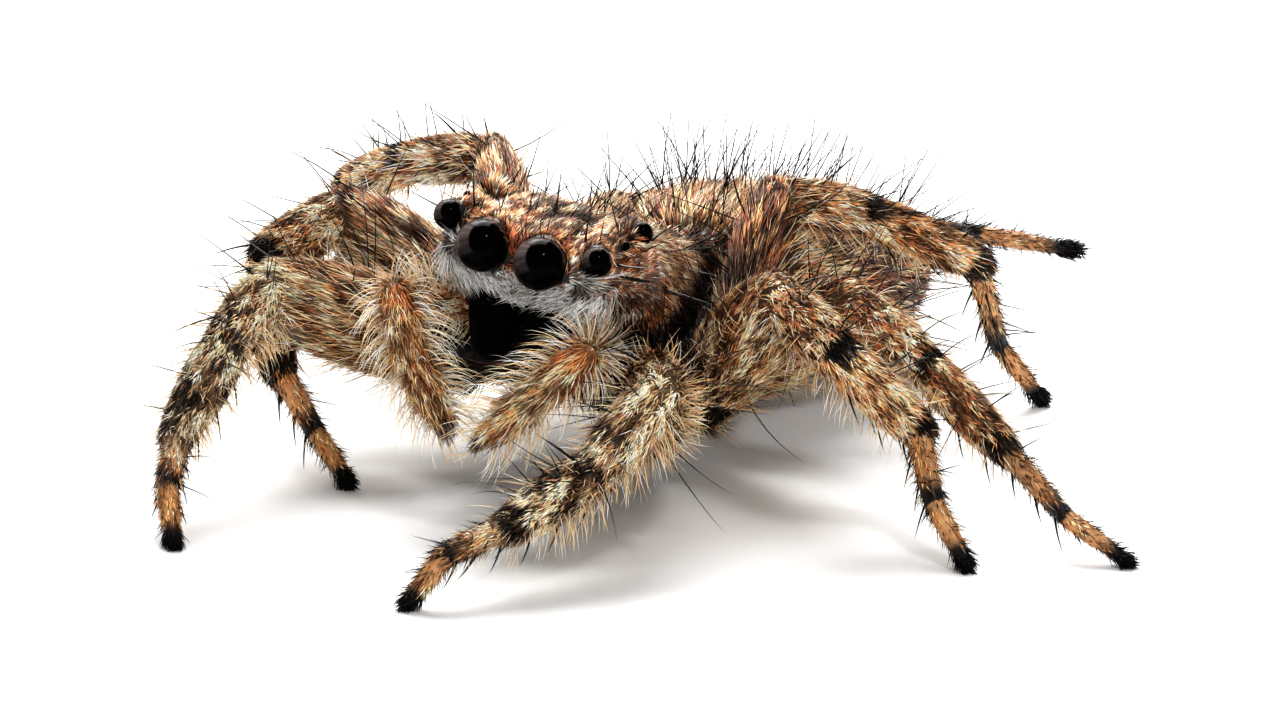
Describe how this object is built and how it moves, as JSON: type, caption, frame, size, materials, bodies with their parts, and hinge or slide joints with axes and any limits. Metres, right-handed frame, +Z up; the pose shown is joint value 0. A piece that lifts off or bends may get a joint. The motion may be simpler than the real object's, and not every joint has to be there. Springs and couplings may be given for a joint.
{
  "type": "jumping spider",
  "caption": "Still life-size model of a tan jumping spider with a hairy mottled coat, standing on the tips of its legs.",
  "frame": {"origin": "on the floor, under the middle of the animal's bounding box", "axes": "+Z up, the spider faces -Y, its own left side is +X"},
  "size_m": [0.0118, 0.0136, 0.0033],
  "materials": {
    "coat": "mottled cream, rust and black hairs lying close",
    "leg_coat": "banded orange, cream and black scales and hairs",
    "palp_coat": "long pale fringes of hair",
    "eye": "wet black gloss",
    "jaw": "dark shiny shell"
  },
  "bodies": {
    "root": {"abdomen": "coat", "cephalothorax": "coat", "chelicera_left": "jaw", "chelicera_right": "jaw", "eye_main_left": "eye", "eye_main_right": "eye", "eye_rear_left": "eye", "eye_rear_right": "eye", "eye_side_left": "eye", "eye_side_right": "eye", "eye_tiny_left": "eye", "eye_tiny_right": "eye", "leg_left_1_femur": "leg_coat", "leg_left_1_metatarsus": "leg_coat", "leg_left_1_patella": "leg_coat", "leg_left_1_tarsus": "leg_coat", "leg_left_1_tibia": "leg_coat", "leg_left_2_femur": "leg_coat", "leg_left_2_metatarsus": "leg_coat", "leg_left_2_patella": "leg_coat", "leg_left_2_tarsus": "leg_coat", "leg_left_2_tibia": "leg_coat", "leg_left_3_femur": "leg_coat", "leg_left_3_metatarsus": "leg_coat", "leg_left_3_patella": "leg_coat", "leg_left_3_tarsus": "leg_coat", "leg_left_3_tibia": "leg_coat", "leg_left_4_femur": "leg_coat", "leg_left_4_metatarsus": "leg_coat", "leg_left_4_patella": "leg_coat", "leg_left_4_tarsus": "leg_coat", "leg_left_4_tibia": "leg_coat", "leg_right_1_femur": "leg_coat", "leg_right_1_metatarsus": "leg_coat", "leg_right_1_patella": "leg_coat", "leg_right_1_tarsus": "leg_coat", "leg_right_1_tibia": "leg_coat", "leg_right_2_femur": "leg_coat", "leg_right_2_metatarsus": "leg_coat", "leg_right_2_patella": "leg_coat", "leg_right_2_tarsus": "leg_coat", "leg_right_2_tibia": "leg_coat", "leg_right_3_femur": "leg_coat", "leg_right_3_metatarsus": "leg_coat", "leg_right_3_patella": "leg_coat", "leg_right_3_tarsus": "leg_coat", "leg_right_3_tibia": "leg_coat", "leg_right_4_femur": "leg_coat", "leg_right_4_metatarsus": "leg_coat", "leg_right_4_patella": "leg_coat", "leg_right_4_tarsus": "leg_coat", "leg_right_4_tibia": "leg_coat", "palp_left_femur": "palp_coat", "palp_left_tarsus": "palp_coat", "palp_left_tibia": "palp_coat", "palp_right_femur": "palp_coat", "palp_right_tarsus": "palp_coat", "palp_right_tibia": "palp_coat", "spinnerets": "jaw"}
  },
  "joints": []
}
